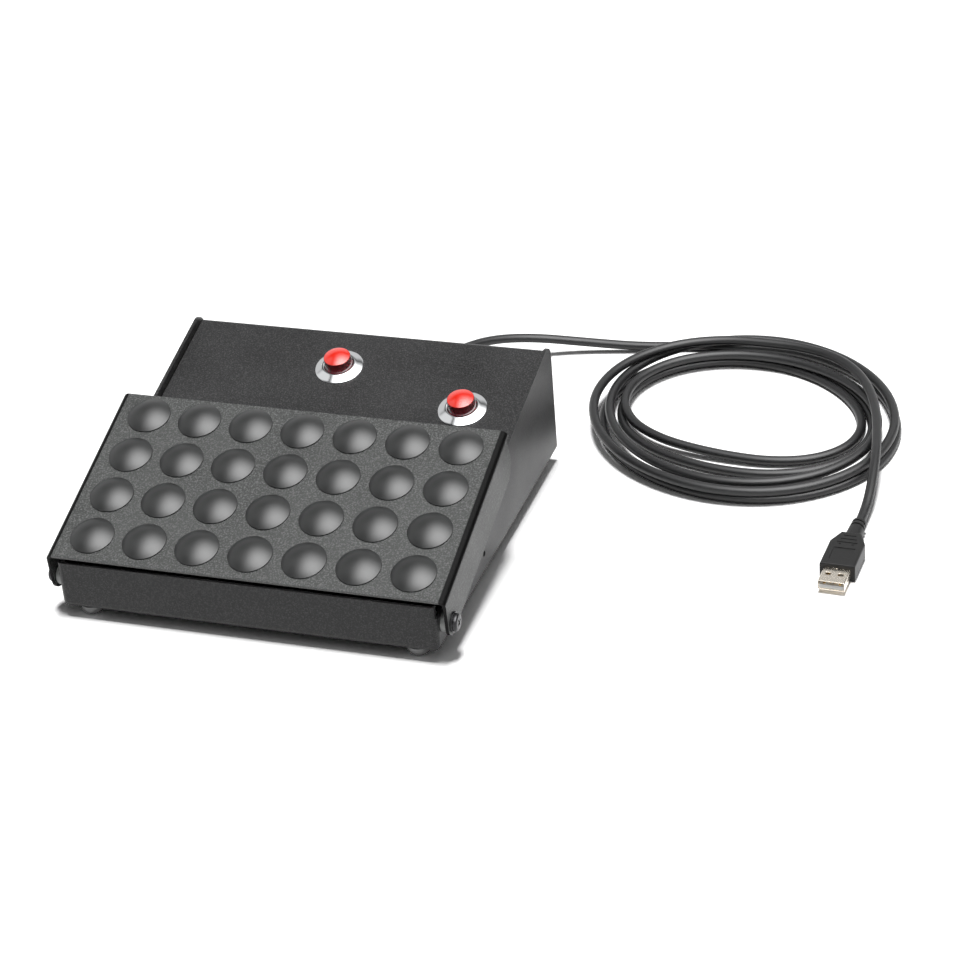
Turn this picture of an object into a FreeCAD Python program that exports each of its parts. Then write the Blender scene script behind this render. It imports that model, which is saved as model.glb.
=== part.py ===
"""Foot controller: a wedge-shaped steel housing with a sprung, studded pedal, two push buttons and a cable.

Frame: +X to the user's right, +Y away from the user, +Z up. The origin lies on the floor, under the middle
of the housing. Millimetres and degrees.
"""
import FreeCAD, Part
import math
import os

V = FreeCAD.Vector

# Housing: a folded tray, closed by a folded cover between its side walls
sheet = 1.5
bend_inner = 1.5
housing_width = 176.5
housing_depth = 173.4
foot_height = 5.0
cheek_front = 16.2
cheek_rear = 59.0
cheek_rear_round = 6.5
cheek_front_round = 3.0
front_wall_height = 22.9
front_wall_inset = 0.95
panel_drop = 3.6
cover_side_gap = 0.4
cover_seat_gap = 0.05
cover_leg_setback = 19.0
cover_flange = 14.0
cover_screw_inset = 30.0
side_hole_radius = 1.4
side_hole_y = -22.8
side_hole_height = 10.5

# Feet
foot_radius = 5.75
foot_lip = 0.6
foot_flat = 2.0
foot_side_inset = 11.5
foot_end_inset = 7.2

# Pedal: a channel with a flange down each side, turning on a screw in each flange
pedal_side_gap = 3.0
pedal_length = 98.0
pedal_lean = 4.035
pedal_stroke = 8.0
pivot_setback = 7.9
pivot_height = 12.0
pivot_below_top = 15.95
pivot_behind_edge = 3.0
flange_end_radius = 5.9
flange_rear_setback = 2.8
flange_rear_round = 9.0
flange_relief = 3.2

# Studs
stud_columns = 7
stud_rows = 4
stud_pitch_across = 25.0
stud_pitch_along = 24.0
stud_radius = 10.05
stud_height = 4.0
stud_lip = 0.5
stud_front_margin = 13.6

# Fasteners
pivot_screw_radius = 2.0
pivot_running_gap = 0.07
pivot_side_gap = 0.15
pivot_head_radius = 4.0
pivot_head_height = 1.8
pan_head_edge = 0.4
pivot_washer_radius = 4.6
pivot_washer_thickness = 0.8
pivot_spacer_radius = 4.6
pivot_nut_flats = 7.0
pivot_nut_thickness = 3.2
pivot_screw_end = 0.6
thread_gap = 0.05
small_screw_radius = 1.5
small_screw_gap = 0.1
small_head_radius = 2.75
small_head_height = 1.8

# Push rod under the pedal, its bush in the panel and its spring
rod_from_pivot = 70.0
rod_radius = 3.0
rod_tip_radius = 8.0
rod_tip_gap = 0.3
rod_running_gap = 0.06
rod_tail_gap = 0.8
bush_radius = 5.0
bush_rim_radius = 6.5
bush_rim_height = 5.0
bush_depth = 5.0
bush_fit_gap = 0.1
bush_nut_flats = 14.0
bush_nut_thickness = 2.5
collar_radius = 5.6
collar_thickness = 1.7
collar_stop_gap = 0.2
spring_wire = 0.8
spring_radius = 4.5
spring_turns = 6.5
seat_above_floor = 1.4
bump_radius = 5.0
bump_from_pivot = 85.0
bump_side = 70.0
bump_gap = 0.2

# Position sensor beside the push rod
pot_offset = 9.0
pot_width = 7.0
pot_breadth = 9.0
pot_above_collar = 1.8
pot_end_wall = 2.2
pot_slot_depth = 5.0
pot_slot_breadth = 3.6
lever_breadth = 3.0
lever_thickness = 1.2
lever_gap = 0.3
bracket_sheet = 1.2
bracket_foot = 9.0
bracket_side = 9.0
seat_margin = 1.6

# Push buttons, each placed by its distance from the housing's right side and, down the slope, from its rear
button_places = {"left": (95.8, 26.5), "right": (29.0, 46.2)}
bezel_radius = 11.5
bezel_lip = 0.5
bezel_height = 2.2
bezel_top_radius = 7.8
barrel_radius = 8.5
barrel_length = 9.0
barrel_gap = 0.1
cap_radius = 6.7
cap_gap = 0.15
cap_above_bezel = 6.1
cap_crown = 1.4
cap_top_radius = 6.3
cap_edge = 0.5
cap_travel = 2.5
cap_seat_depth = 3.0
cap_rim_radius = 7.2
cap_rim_thickness = 1.2
cap_rim_gap = 0.2
cap_stem_radius = 2.5
barrel_wall = 1.0
button_nut_flats = 21.0
button_nut_thickness = 2.5
switch_depth = 8.0
switch_neck = 0.6
switch_stem_gap = 0.3
terminal_length = 5.0
terminal_width = 2.6
terminal_thickness = 0.8
terminal_spread = 8.0
button_spring_wire = 0.4
button_spring_radius = 5.0
button_spring_turns = 3.0

# Circuit board on four standoffs
board_width = 60.0
board_depth = 42.0
board_thickness = 1.6
board_x = 20.0
board_gap = 0.7
board_hole_inset = 4.0
standoff_flats = 5.5
standoff_height = 6.0
chip_size = 10.0
chip_height = 1.6
header_width = 10.0
header_depth = 6.0
header_height = 6.5
header_wall = 1.0
header_floor = 1.5
header_setback = 1.0
header_spread = 3.0
pin_thickness = 0.64
pin_pitch = 2.0
pin_recess = 1.0

# Cable, its gland in the rear wall and its plug
cable_radius = 2.25
gland_x = 13.0
gland_height = 17.0
gland_flange_radius = 6.3
gland_flange = 2.0
gland_barrel_radius = 4.7
gland_barrel_gap = 0.1
gland_barrel_length = 6.0
gland_nut_flats = 13.0
gland_nut_thickness = 3.0
gland_boot_length = 22.0
gland_boot_root = 4.4
gland_boot_end = 3.1

plug_x = 237.95
plug_y = -0.5
plug_turn = 1.9
plug_height = 8.5
plug_width = 15.8
plug_body_front = 11.2
plug_shoulder = 30.2
plug_taper_end = 38.3
plug_taper_width = 9.2
plug_edge_round = 1.0
relief_length = 14.0
relief_root = 4.0
relief_end = 3.3
relief_groove_starts = (8.3, 11.3)
relief_groove_width = 1.0
relief_groove_depth = 0.6
plug_recess_depth = 0.3
plug_recess_half = 4.8
plug_recess_front = 14.3
plug_recess_rear = 24.9
plug_dot_radius = 0.6
plug_dot_spread = 2.9
plug_dot_y = 27.6
plug_grips = ((28.9, 4.6), (31.7, 3.7), (34.5, 2.8))
plug_grip_breadth = 0.8
shell_width = 12.0
shell_height = 4.5
shell_wall = 0.3
shell_corner = 0.65
shell_inside = 6.0
shell_hole_width = 2.5
shell_hole_length = 2.0
shell_hole_front = 5.2
shell_hole_spread = 5.6
shell_notch = 0.9
tongue_height = 1.95
tongue_setback = 0.6
contact_width = 1.0

# The cable lies in a loose coil of two layers, first inwards on the floor, then outwards on top
coil_x = 168.0
coil_y = 133.2
coil_half_width = 77.0
coil_half_depth = 76.8
coil_start_angle = 100.0
coil_turns = 5.06
coil_end_inward = 0.35
coil_lean = 3.5
coil_end_lift = 3.2
coil_lift_turns = 0.15
coil_width_step = 9.5
coil_depth_step = 12.2
coil_drift = 1.75
coil_floor_gap = 0.05
coil_layer_gap = 0.45
coil_end_straight = 2.0 * cable_radius

# Derived places
base_z = foot_height
floor_top = base_z + sheet
half_width = housing_width / 2
half_depth = housing_depth / 2
pedal_width = housing_width + 2 * (pedal_side_gap + sheet)
panel_angle = math.degrees(math.atan2(cheek_rear - cheek_front, housing_depth))
slope = math.radians(panel_angle)
pedal_tilt = panel_angle + pedal_lean
pivot_y = -half_depth + pivot_setback
pivot_z = base_z + pivot_height
stroke = math.radians(pedal_stroke)


def cheek_top(y):
    """Height of the side walls' sloping edge at a depth y."""
    return base_z + cheek_front + (y + half_depth) * math.tan(slope)


def panel_top(y):
    """Height of the cover's sloping face at a depth y."""
    return cheek_top(y) - panel_drop / math.cos(slope)


# The pedal's underside seen from the panel: its height over the panel, a distance along the slope from the pivot
pivot_over_panel = (pivot_z - panel_top(pivot_y)) * math.cos(slope)


def button_place(side):
    """A button's distance to the right of the middle, and its distance along the slope from the pivot."""
    from_side, from_rear = button_places[side]
    rear = (half_depth - pivot_y - pivot_over_panel * math.sin(slope)) / math.cos(slope)
    return half_width - from_side, rear - from_rear


def pedal_gap(along, pressed):
    """Height of the pedal's underside over the panel, with the pedal pressed by an angle in degrees."""
    lean = math.radians(pedal_tilt - pressed) - slope
    return pivot_over_panel + (pivot_below_top - sheet) / math.cos(lean) + along * math.tan(lean)


rod_travel = pedal_gap(rod_from_pivot, 0.0) - pedal_gap(rod_from_pivot, pedal_stroke)


def on_panel(shape, x, along):
    """Place a shape made about its own Z axis on the panel's face, square to it."""
    foot = V(0, pivot_y, pivot_z) - V(0, -math.sin(slope), math.cos(slope)) * pivot_over_panel
    place = foot + V(x, along * math.cos(slope), along * math.sin(slope))
    shape.Placement = FreeCAD.Placement(place, FreeCAD.Rotation(V(1, 0, 0), panel_angle))
    return shape


def on_pivot(shape):
    """Place a shape made in the pedal's frame, whose X axis is the pivot and whose Y runs up the plate."""
    shape.Placement = FreeCAD.Placement(V(0, pivot_y, pivot_z), FreeCAD.Rotation(V(1, 0, 0), pedal_tilt))
    return shape


# Outlines


def polygon(points):
    return Part.Face(Part.makePolygon(points + [points[0]]))


def rounded_edges(points, radii, closed=True):
    """Edges of an outline through the points, with each corner rounded to its radius."""
    edges = []
    count = len(points)
    starts = []
    ends = []
    arcs = []
    for i in range(count):
        here = points[i]
        radius = radii[i]
        if radius <= 0 or (not closed and i in (0, count - 1)):
            starts.append(here)
            ends.append(here)
            arcs.append(None)
            continue
        back = (points[i - 1] - here).normalize()
        ahead = (points[(i + 1) % count] - here).normalize()
        half = back.getAngle(ahead) / 2
        run = radius / math.tan(half)
        middle = (back + ahead).normalize()
        centre = here + middle * (radius / math.sin(half))
        starts.append(here + back * run)
        ends.append(here + ahead * run)
        arcs.append(centre - middle * radius)
    for i in range(count):
        if arcs[i] is not None:
            edges.append(Part.Arc(starts[i], arcs[i], ends[i]).toShape())
        if i == count - 1 and not closed:
            break
        following = starts[(i + 1) % count]
        if ends[i].distanceToPoint(following) > 1e-6:
            edges.append(Part.makeLine(ends[i], following))
    return edges


def rounded_face(points, radii):
    return Part.Face(Part.Wire(rounded_edges(points, radii)))


def folded(points, thickness, inner, normal, depth):
    """Folded sheet: the sheet's middle line in one plane, swept along the plane's normal."""
    sides = {1: [], -1: []}
    radii = {1: [], -1: []}
    count = len(points)
    for i in range(count):
        before = (points[i] - points[i - 1]).normalize() if i else None
        after = (points[i + 1] - points[i]).normalize() if i < count - 1 else None
        before = before or after
        after = after or before
        across = (normal.cross(before) + normal.cross(after)).normalize()
        reach = thickness / 2 / across.dot(normal.cross(before))
        turn = normal.dot(before.cross(after))
        for side in (1, -1):
            sides[side].append(points[i] + across * (reach * side))
            bend = inner if turn * side > 0 else inner + thickness
            radii[side].append(bend if 0 < i < count - 1 else 0)
    outline = sides[1] + sides[-1][::-1]
    face = Part.Face(Part.Wire(rounded_edges(outline, radii[1] + radii[-1][::-1])))
    return face.extrude(normal * depth)


def turned(profile, axis=V(0, 0, 1)):
    """A solid of revolution from a profile of (radius, height) points, about the Z axis."""
    face = polygon([V(r, 0, h) for r, h in profile])
    solid = face.revolve(V(0, 0, 0), V(0, 0, 1), 360)
    if axis != V(0, 0, 1):
        solid.Placement = FreeCAD.Placement(V(), FreeCAD.Rotation(V(0, 0, 1), axis))
    return solid


def cylinder(radius, length, base=V(), axis=V(0, 0, 1)):
    return Part.makeCylinder(radius, length, base, axis)


def dome(radius, lip, height, flat=0.0):
    """A low round dome standing on Z = 0, with an upright lip and, where it rests, a small flat."""
    rise = height - lip
    span = radius - flat
    shoulder = V(flat + span * math.sin(math.radians(45)), 0, lip + rise * math.sin(math.radians(45)))
    edges = [Part.makeLine(V(0, 0, 0), V(radius, 0, 0)), Part.makeLine(V(radius, 0, 0), V(radius, 0, lip))]
    edges.append(Part.Arc(V(radius, 0, lip), shoulder, V(flat, 0, height)).toShape())
    if flat > 0:
        edges.append(Part.makeLine(V(flat, 0, height), V(0, 0, height)))
    edges.append(Part.makeLine(V(0, 0, height), V(0, 0, 0)))
    return Part.Face(Part.Wire(edges)).revolve(V(0, 0, 0), V(0, 0, 1), 360)


def crown(radius, low, rise):
    """The arc of a low spherical crown, from its rim to its top on the Z axis."""
    sphere = (radius ** 2 + rise ** 2) / (2 * rise)
    half = math.asin(radius / sphere) / 2
    middle = V(sphere * math.sin(half), 0, low + rise - sphere * (1 - math.cos(half)))
    return Part.Arc(V(radius, 0, low), middle, V(0, 0, low + rise)).toShape()


def cap_dome(radius, lip, height):
    """A low spherical dome on an upright lip, standing on Z = 0."""
    edges = [Part.makeLine(V(0, 0, 0), V(radius, 0, 0)), Part.makeLine(V(radius, 0, 0), V(radius, 0, lip))]
    edges.append(crown(radius, lip, height - lip))
    edges.append(Part.makeLine(V(0, 0, height), V(0, 0, 0)))
    return Part.Face(Part.Wire(edges)).revolve(V(0, 0, 0), V(0, 0, 1), 360)


def hex_nut(flats, thickness, bore, base=V(), axis=V(0, 0, 1)):
    """A hexagon nut standing on its base point, with its corners chamfered at the far face."""
    corner = flats / math.sqrt(3)
    points = [V(corner * math.cos(math.radians(60 * k)), corner * math.sin(math.radians(60 * k)), 0)
              for k in range(6)]
    nut = polygon(points).extrude(V(0, 0, thickness))
    chamfer = (corner - flats / 2) * math.tan(math.radians(30))
    cone = turned([(0, 0), (corner, 0), (corner, thickness - chamfer), (flats / 2, thickness), (0, thickness)])
    nut = nut.common(cone).cut(cylinder(bore, thickness))
    nut.Placement = FreeCAD.Placement(base, FreeCAD.Rotation(V(0, 0, 1), axis))
    return nut


def pan_screw(radius, length, head_radius, head_height, base, axis):
    """A pan-head screw: the head stands on the base point and points along the axis."""
    edge = head_height * pan_head_edge
    bend = head_height - edge
    shank = [V(0, 0, -length), V(radius, 0, -length), V(radius, 0, 0), V(head_radius, 0, 0), V(head_radius, 0, edge)]
    edges = [Part.makeLine(a, b) for a, b in zip(shank, shank[1:])]
    middle = V(head_radius - bend * (1 - math.sin(math.radians(45))), 0, edge + bend * math.sin(math.radians(45)))
    flat = V(head_radius - bend, 0, head_height)
    edges.append(Part.Arc(shank[-1], middle, flat).toShape())
    edges.append(Part.makeLine(flat, V(0, 0, head_height)))
    edges.append(Part.makeLine(V(0, 0, head_height), shank[0]))
    screw = Part.Face(Part.Wire(edges)).revolve(V(0, 0, 0), V(0, 0, 1), 360)
    screw.Placement = FreeCAD.Placement(base, FreeCAD.Rotation(V(0, 0, 1), axis))
    return screw


# Round wire and cable


def arc_from(start, heading, end):
    """The arc that leaves the start along a heading and reaches the end, and its end heading."""
    chord = end - start
    along = V(chord).normalize()
    aside = heading - along * heading.dot(along)
    if aside.Length < 1e-7:
        return Part.makeLine(start, end), V(heading)
    angle = math.atan2(aside.Length, heading.dot(along))
    rise = chord.Length / 2 * math.tan(angle / 2)
    middle = (start + end) * 0.5 + aside.normalize() * rise
    return Part.Arc(start, middle, end).toShape(), along * (2 * heading.dot(along)) - heading


def biarc(start, leave, end, arrive):
    """Two arcs that join two points with given headings."""
    gap = end - start
    both = leave + arrive
    weight = 2 * (1 - leave.dot(arrive))
    lean = gap.dot(both)
    if weight < 1e-9:
        reach = gap.dot(gap) / (4 * gap.dot(leave))
    else:
        reach = (math.sqrt(lean * lean + weight * gap.dot(gap)) - lean) / weight
    joint = (start + leave * reach + end - arrive * reach) * 0.5
    first, heading = arc_from(start, leave, joint)
    second, heading = arc_from(joint, heading, end)
    return [first, second]


def wound(place, knots, radius, lead_in=0.0, lead_out=0.0):
    """One unbroken round wire along biarcs between knots; place(t) gives a point and a heading."""
    points = [place(t) for t in knots]
    edges = []
    first, leave = points[0]
    last, arrive = points[-1]
    if lead_in:
        edges.append(Part.makeLine(first - leave * lead_in, first))
    for (start, heading), (end, following) in zip(points, points[1:]):
        edges += biarc(start, heading, end, following)
    if lead_out:
        edges.append(Part.makeLine(last, last + arrive * lead_out))
    return swept(edges, radius)


def swept(edges, radius):
    path = Part.Wire(edges)
    start = edges[0].valueAt(edges[0].FirstParameter)
    heading = edges[0].tangentAt(edges[0].FirstParameter)
    ring = Part.Wire(Part.makeCircle(radius, start, heading))
    shell = Part.BRepOffsetAPI.MakePipeShell(path)
    shell.add(ring, False, False)
    shell.build()
    shell.makeSolid()
    return shell.shape(), path


def route_edges(points):
    """Straight runs joined by tangent arcs, each arc as large as its two runs allow."""
    radii = [0.0]
    for before, here, after in zip(points, points[1:], points[2:]):
        shorter = min((here - before).Length, (after - here).Length)
        turn = (here - before).getAngle(after - here)
        radii.append(0.45 * shorter / math.tan(turn / 2))
    radii.append(0.0)
    return rounded_edges(points, radii, closed=False), radii[1:-1]


def helix(radius, low, high, turns, wire):
    """A compression spring about the Z axis, with flat end turns."""
    rest = 0.75

    def place(t):
        angle = 2 * math.pi * t
        span = turns - 2 * rest
        rise = (high - low - 2 * wire) / span
        level = low + wire / 2 + min(max(t - rest, 0.0), span) * rise + wire * min(t, rest) / (2 * rest)
        level += wire * max(t - turns + rest, 0.0) / (2 * rest)
        slope_here = rise if rest <= t <= turns - rest else wire / (2 * rest)
        heading = V(-2 * math.pi * radius * math.sin(angle), 2 * math.pi * radius * math.cos(angle), slope_here)
        return V(radius * math.cos(angle), radius * math.sin(angle), level), heading.normalize()

    steps = int(round(turns * 4))
    return wound(place, [turns * k / steps for k in range(steps + 1)], wire / 2)[0]


# Housing


def tray_block(inset, radius):
    """The tray's outer or inner form: a block, open at the back, with its bends rounded."""
    x = half_width - inset
    front = -half_depth + inset
    low = base_z + inset
    block = Part.makeBox(2 * x, 2 * housing_depth, 2 * cheek_rear, V(-x, front, low))
    bends = []
    for edge in block.Edges:
        middle = edge.CenterOfMass
        upright = abs(middle.y - front) < 1e-6 and abs(abs(middle.x) - x) < 1e-6
        under = abs(middle.z - low) < 1e-6 and middle.y < front + 1.5 * housing_depth
        if upright or under:
            bends.append(edge)
    return block.makeFillet(radius, bends)


def base_tray():
    tray = tray_block(0.0, bend_inner + sheet).cut(tray_block(sheet, bend_inner))
    low = base_z - 1
    side = [V(0, -half_depth, low), V(0, half_depth, low), V(0, half_depth, cheek_top(half_depth)),
            V(0, -half_depth, cheek_top(-half_depth))]
    wedge = rounded_face(side, [0, 0, cheek_rear_round, cheek_front_round]).extrude(V(housing_width, 0, 0))
    wedge.translate(V(-half_width, 0, 0))
    lip_half = half_width - front_wall_inset
    lip = Part.makeBox(2 * lip_half, sheet + bend_inner, front_wall_height, V(-lip_half, -half_depth, base_z))
    tray = tray.common(wedge.fuse(lip))
    across = V(1, 0, 0)
    drills = [cylinder(pivot_screw_radius + pivot_running_gap, housing_width,
                       V(-half_width, pivot_y, pivot_z), across),
              cylinder(side_hole_radius, housing_width, V(-half_width, side_hole_y, base_z + side_hole_height),
                       across)]
    for x, y in bracket_screw_places() + board_screw_places():
        drills.append(cylinder(small_screw_radius + small_screw_gap, sheet, V(x, y, base_z)))
    for x, y in cover_screw_places():
        drills.append(countersink(x, y, small_screw_gap))
    return tray.cut(Part.makeCompound(drills))


def countersink(x, y, gap):
    """The form of a flush screw head and shank, seen from below."""
    radius = small_screw_radius + gap
    head = small_head_radius + gap
    depth = head - radius
    form = turned([(0, 0), (head, 0), (radius, depth), (radius, sheet + cover_seat_gap + sheet),
                   (0, sheet + cover_seat_gap + sheet)])
    form.translate(V(x, y, base_z))
    return form


def cover_line():
    """The middle line of the cover's sheet, from its rear flange over the panel to its front flange."""
    low = floor_top + cover_seat_gap + sheet / 2
    rear = half_depth - sheet / 2
    front = -half_depth + cover_leg_setback
    down = sheet / 2 / math.cos(slope)
    return [V(0, rear - cover_flange, low), V(0, rear, low), V(0, rear, panel_top(rear) - down),
            V(0, front, panel_top(front) - down), V(0, front, low), V(0, front + cover_flange, low)]


def cover_screw_places():
    rear = half_depth - cover_flange / 2 - sheet
    front = -half_depth + cover_leg_setback + cover_flange / 2 + sheet
    x = half_width - cover_screw_inset
    return [(side * x, y) for y in (front, rear) for side in (-1, 1)]


def top_cover():
    half = half_width - sheet - cover_side_gap
    cover = folded(cover_line(), sheet, bend_inner, V(1, 0, 0), 2 * half)
    cover.translate(V(-half, 0, 0))
    cuts = [on_panel(cylinder(barrel_radius + barrel_gap, 4 * sheet, V(0, 0, -2 * sheet)), *button_place(side))
            for side in button_places]
    cuts.append(on_panel(cylinder(bush_radius + bush_fit_gap, 4 * sheet, V(0, 0, -2 * sheet)), 0, rod_from_pivot))
    cuts.append(cylinder(gland_barrel_radius + gland_barrel_gap, 4 * sheet,
                         V(gland_x, half_depth - 2 * sheet, base_z + gland_height), V(0, 1, 0)))
    cuts += [countersink(x, y, small_screw_gap) for x, y in cover_screw_places()]
    return cover.cut(Part.makeCompound(cuts))


def cover_screws():
    return [countersink(x, y, 0.0) for x, y in cover_screw_places()]


def feet():
    solids = []
    for side in (-1, 1):
        for end in (-1, 1):
            foot = dome(foot_radius, foot_lip, foot_height, foot_flat)
            place = V(side * (half_width - foot_side_inset), end * (half_depth - foot_end_inset), base_z)
            foot.Placement = FreeCAD.Placement(place, FreeCAD.Rotation(V(1, 0, 0), 180))
            solids.append(foot)
    return solids


# Pedal


def pedal_outline():
    """Side view of the pedal in its own frame: the pivot's end is round, the plate runs on to the back."""
    top = pivot_below_top + 1
    front = -pivot_behind_edge
    rear = pedal_length - pivot_behind_edge
    bend = pivot_below_top - bend_inner - sheet
    radius = flange_end_radius
    far = math.hypot(front, bend)
    run = math.sqrt(far * far - radius * radius)
    tangent = V(0, (radius * radius * front - radius * run * bend) / far ** 2,
                (radius * radius * bend + radius * run * front) / far ** 2)
    low = V(0, 0, -radius)
    nose_angle = (math.atan2(tangent.z, tangent.y) + 1.5 * math.pi) / 2
    if tangent.z < 0:
        nose_angle += math.pi
    nose = V(0, radius * math.cos(nose_angle), radius * math.sin(nose_angle))
    heel = rear - flange_rear_setback
    step = pivot_below_top - flange_relief
    round_end = V(0, heel, -radius + flange_rear_round)
    round_middle = V(0, heel - flange_rear_round * (1 - math.sin(math.radians(45))),
                     -radius + flange_rear_round * (1 - math.cos(math.radians(45))))
    edges = [Part.makeLine(V(0, front, top), V(0, front, bend)), Part.makeLine(V(0, front, bend), tangent),
             Part.Arc(tangent, nose, low).toShape(),
             Part.makeLine(low, V(0, heel - flange_rear_round, -radius)),
             Part.Arc(V(0, heel - flange_rear_round, -radius), round_middle, round_end).toShape(),
             Part.makeLine(round_end, V(0, heel, step)), Part.makeLine(V(0, heel, step), V(0, rear, step)),
             Part.makeLine(V(0, rear, step), V(0, rear, top)), Part.makeLine(V(0, rear, top), V(0, front, top))]
    return Part.Face(Part.Wire(edges))


def pedal_plate():
    x = pedal_width / 2 - sheet / 2
    high = pivot_below_top - sheet / 2
    low = -2 * flange_end_radius
    line = [V(-x, -pedal_length, low), V(-x, -pedal_length, high), V(x, -pedal_length, high),
            V(x, -pedal_length, low)]
    channel = folded(line, sheet, bend_inner, V(0, 1, 0), 3 * pedal_length)
    side = pedal_outline().extrude(V(pedal_width, 0, 0))
    side.translate(V(-pedal_width / 2, 0, 0))
    plate = channel.common(side)
    bore = cylinder(pivot_screw_radius + pivot_running_gap, 2 * pedal_width, V(-pedal_width, 0, 0), V(1, 0, 0))
    return on_pivot(plate.cut(bore))


def grip_studs():
    solids = []
    for row in range(stud_rows):
        for column in range(stud_columns):
            stud = cap_dome(stud_radius, stud_lip, stud_height)
            x = (column - (stud_columns - 1) / 2) * stud_pitch_across
            y = -pivot_behind_edge + stud_front_margin + row * stud_pitch_along
            stud.translate(V(x, y, pivot_below_top))
            place = FreeCAD.Placement(V(0, pivot_y, pivot_z), FreeCAD.Rotation(V(1, 0, 0), pedal_tilt))
            stud.Placement = place.multiply(stud.Placement)
            solids.append(stud)
    return solids


def at_pivots(make):
    """One solid at each end of the pivot; make(side) gets -1 or 1."""
    return [make(side) for side in (-1, 1)]


def pivot_face(side, inward):
    """A point on the pivot's axis, a distance inside the flange's outer face."""
    return V(side * (pedal_width / 2 - inward), pivot_y, pivot_z)


def pivot_screws():
    washer_out = -pivot_side_gap - pivot_washer_thickness
    inner_face = half_width - sheet
    length = pedal_width / 2 - washer_out - (inner_face - pivot_nut_thickness - pivot_screw_end)
    return at_pivots(lambda side: pan_screw(pivot_screw_radius, length, pivot_head_radius, pivot_head_height,
                                            pivot_face(side, washer_out), V(side, 0, 0)))


def ring(outer, inner, thickness, base, axis):
    return cylinder(outer, thickness, base, axis).cut(cylinder(inner, thickness, base, axis))


def pivot_washers():
    inner = pivot_screw_radius + thread_gap
    return at_pivots(lambda side: ring(pivot_washer_radius, inner, pivot_washer_thickness,
                                       pivot_face(side, -pivot_side_gap), V(side, 0, 0)))


def pivot_spacers():
    inner = pivot_screw_radius + thread_gap
    thickness = pedal_width / 2 - sheet - half_width - pivot_side_gap
    return at_pivots(lambda side: ring(pivot_spacer_radius, inner, thickness,
                                       V(side * half_width, pivot_y, pivot_z), V(side, 0, 0)))


def pivot_nuts():
    return at_pivots(lambda side: hex_nut(pivot_nut_flats, pivot_nut_thickness, pivot_screw_radius + thread_gap,
                                          V(side * (half_width - sheet), pivot_y, pivot_z), V(-side, 0, 0)))


# Push rod, spring and sensor

collar_top = -bush_depth - collar_stop_gap
collar_low = collar_top - collar_thickness
seat_half = spring_radius + spring_wire / 2 + seat_margin
seat_level = ((floor_top + bracket_sheet + seat_above_floor - panel_top(pivot_y)) / math.cos(slope)
              - (rod_from_pivot + pivot_over_panel * math.tan(slope) - seat_half) * math.tan(slope))
rod_tail = collar_low - seat_level - rod_travel - rod_tail_gap
rod_tip = pedal_gap(rod_from_pivot, 0.0) - rod_tip_gap


def push_rod():
    low = collar_low - rod_tail
    rod = cylinder(rod_radius, rod_tip + rod_tip_radius - low, V(0, 0, low))
    tip = Part.makeSphere(rod_tip_radius, V(0, 0, rod_tip - rod_tip_radius))
    body = cylinder(rod_radius, rod_tip - rod_tip_radius / 2 - low, V(0, 0, low))
    return on_panel(rod.common(body.fuse(tip)), 0, rod_from_pivot)


def rod_collar():
    disc = cylinder(collar_radius, collar_thickness, V(0, 0, collar_low))
    arm = Part.makeBox(pot_offset - lever_gap, lever_breadth, collar_thickness, V(0, -lever_breadth / 2, collar_low))
    bore = cylinder(rod_radius, collar_thickness, V(0, 0, collar_low))
    return on_panel(disc.fuse(arm).cut(bore), 0, rod_from_pivot)


def rod_guide_bush():
    bore = rod_radius + rod_running_gap
    bush = turned([(bore, -bush_depth), (bush_radius, -bush_depth), (bush_radius, 0), (bush_rim_radius, 0),
                   (bush_rim_radius, bush_rim_height - 1), (bush_rim_radius - 1, bush_rim_height),
                   (bore, bush_rim_height)])
    return on_panel(bush, 0, rod_from_pivot)


def bush_nut():
    nut = hex_nut(bush_nut_flats, bush_nut_thickness, bush_radius + thread_gap, V(0, 0, -sheet), V(0, 0, -1))
    place = on_panel(Part.makeSphere(1), 0, rod_from_pivot).Placement
    nut.Placement = place.multiply(nut.Placement)
    return nut


def return_spring():
    spring = helix(spring_radius, seat_level, collar_low, spring_turns, spring_wire)
    return on_panel(spring, 0, rod_from_pivot)


def bump_stops():
    height = pedal_gap(bump_from_pivot + bump_radius, pedal_stroke) - bump_gap
    edge = height / 6
    solids = []
    for side in (-1, 1):
        bump = turned([(0, 0), (bump_radius, 0), (bump_radius, height - edge), (bump_radius - edge, height),
                       (0, height)])
        solids.append(on_panel(bump, side * bump_side, bump_from_pivot))
    return solids


pot_top = collar_top + pot_above_collar
pot_slot_top = collar_top + lever_gap
pot_slot_low = collar_top - lever_thickness - rod_travel - lever_gap
pot_low = pot_slot_low - pot_end_wall


def slide_pot_body():
    body = Part.makeBox(pot_width, pot_breadth, pot_top - pot_low, V(pot_offset, -pot_breadth / 2, pot_low))
    slot = Part.makeBox(pot_slot_depth, pot_slot_breadth, pot_slot_top - pot_slot_low,
                        V(pot_offset, -pot_slot_breadth / 2, pot_slot_low))
    return on_panel(body.cut(slot), 0, rod_from_pivot)


def slide_pot_lever():
    start = pot_offset - lever_gap
    lever = Part.makeBox(pot_slot_depth, lever_breadth, lever_thickness,
                         V(start, -lever_breadth / 2, collar_top - lever_thickness))
    return on_panel(lever, 0, rod_from_pivot)


def bracket_ramp():
    """The middle line of the sensor bracket, seen from the side: foot, ramp square to the rod, riser, foot."""
    place = on_panel(Part.makeSphere(1), 0, rod_from_pivot).Placement
    front = place.multVec(V(0, -seat_half, seat_level - bracket_sheet / 2))
    rear = place.multVec(V(0, seat_half, seat_level - bracket_sheet / 2))
    low = floor_top + bracket_sheet / 2
    toe = front.y - (front.z - low)
    return [V(0, toe - bracket_foot, low), V(0, toe, low), front, rear,
            V(0, rear.y, low), V(0, rear.y + bracket_foot, low)]


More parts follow.
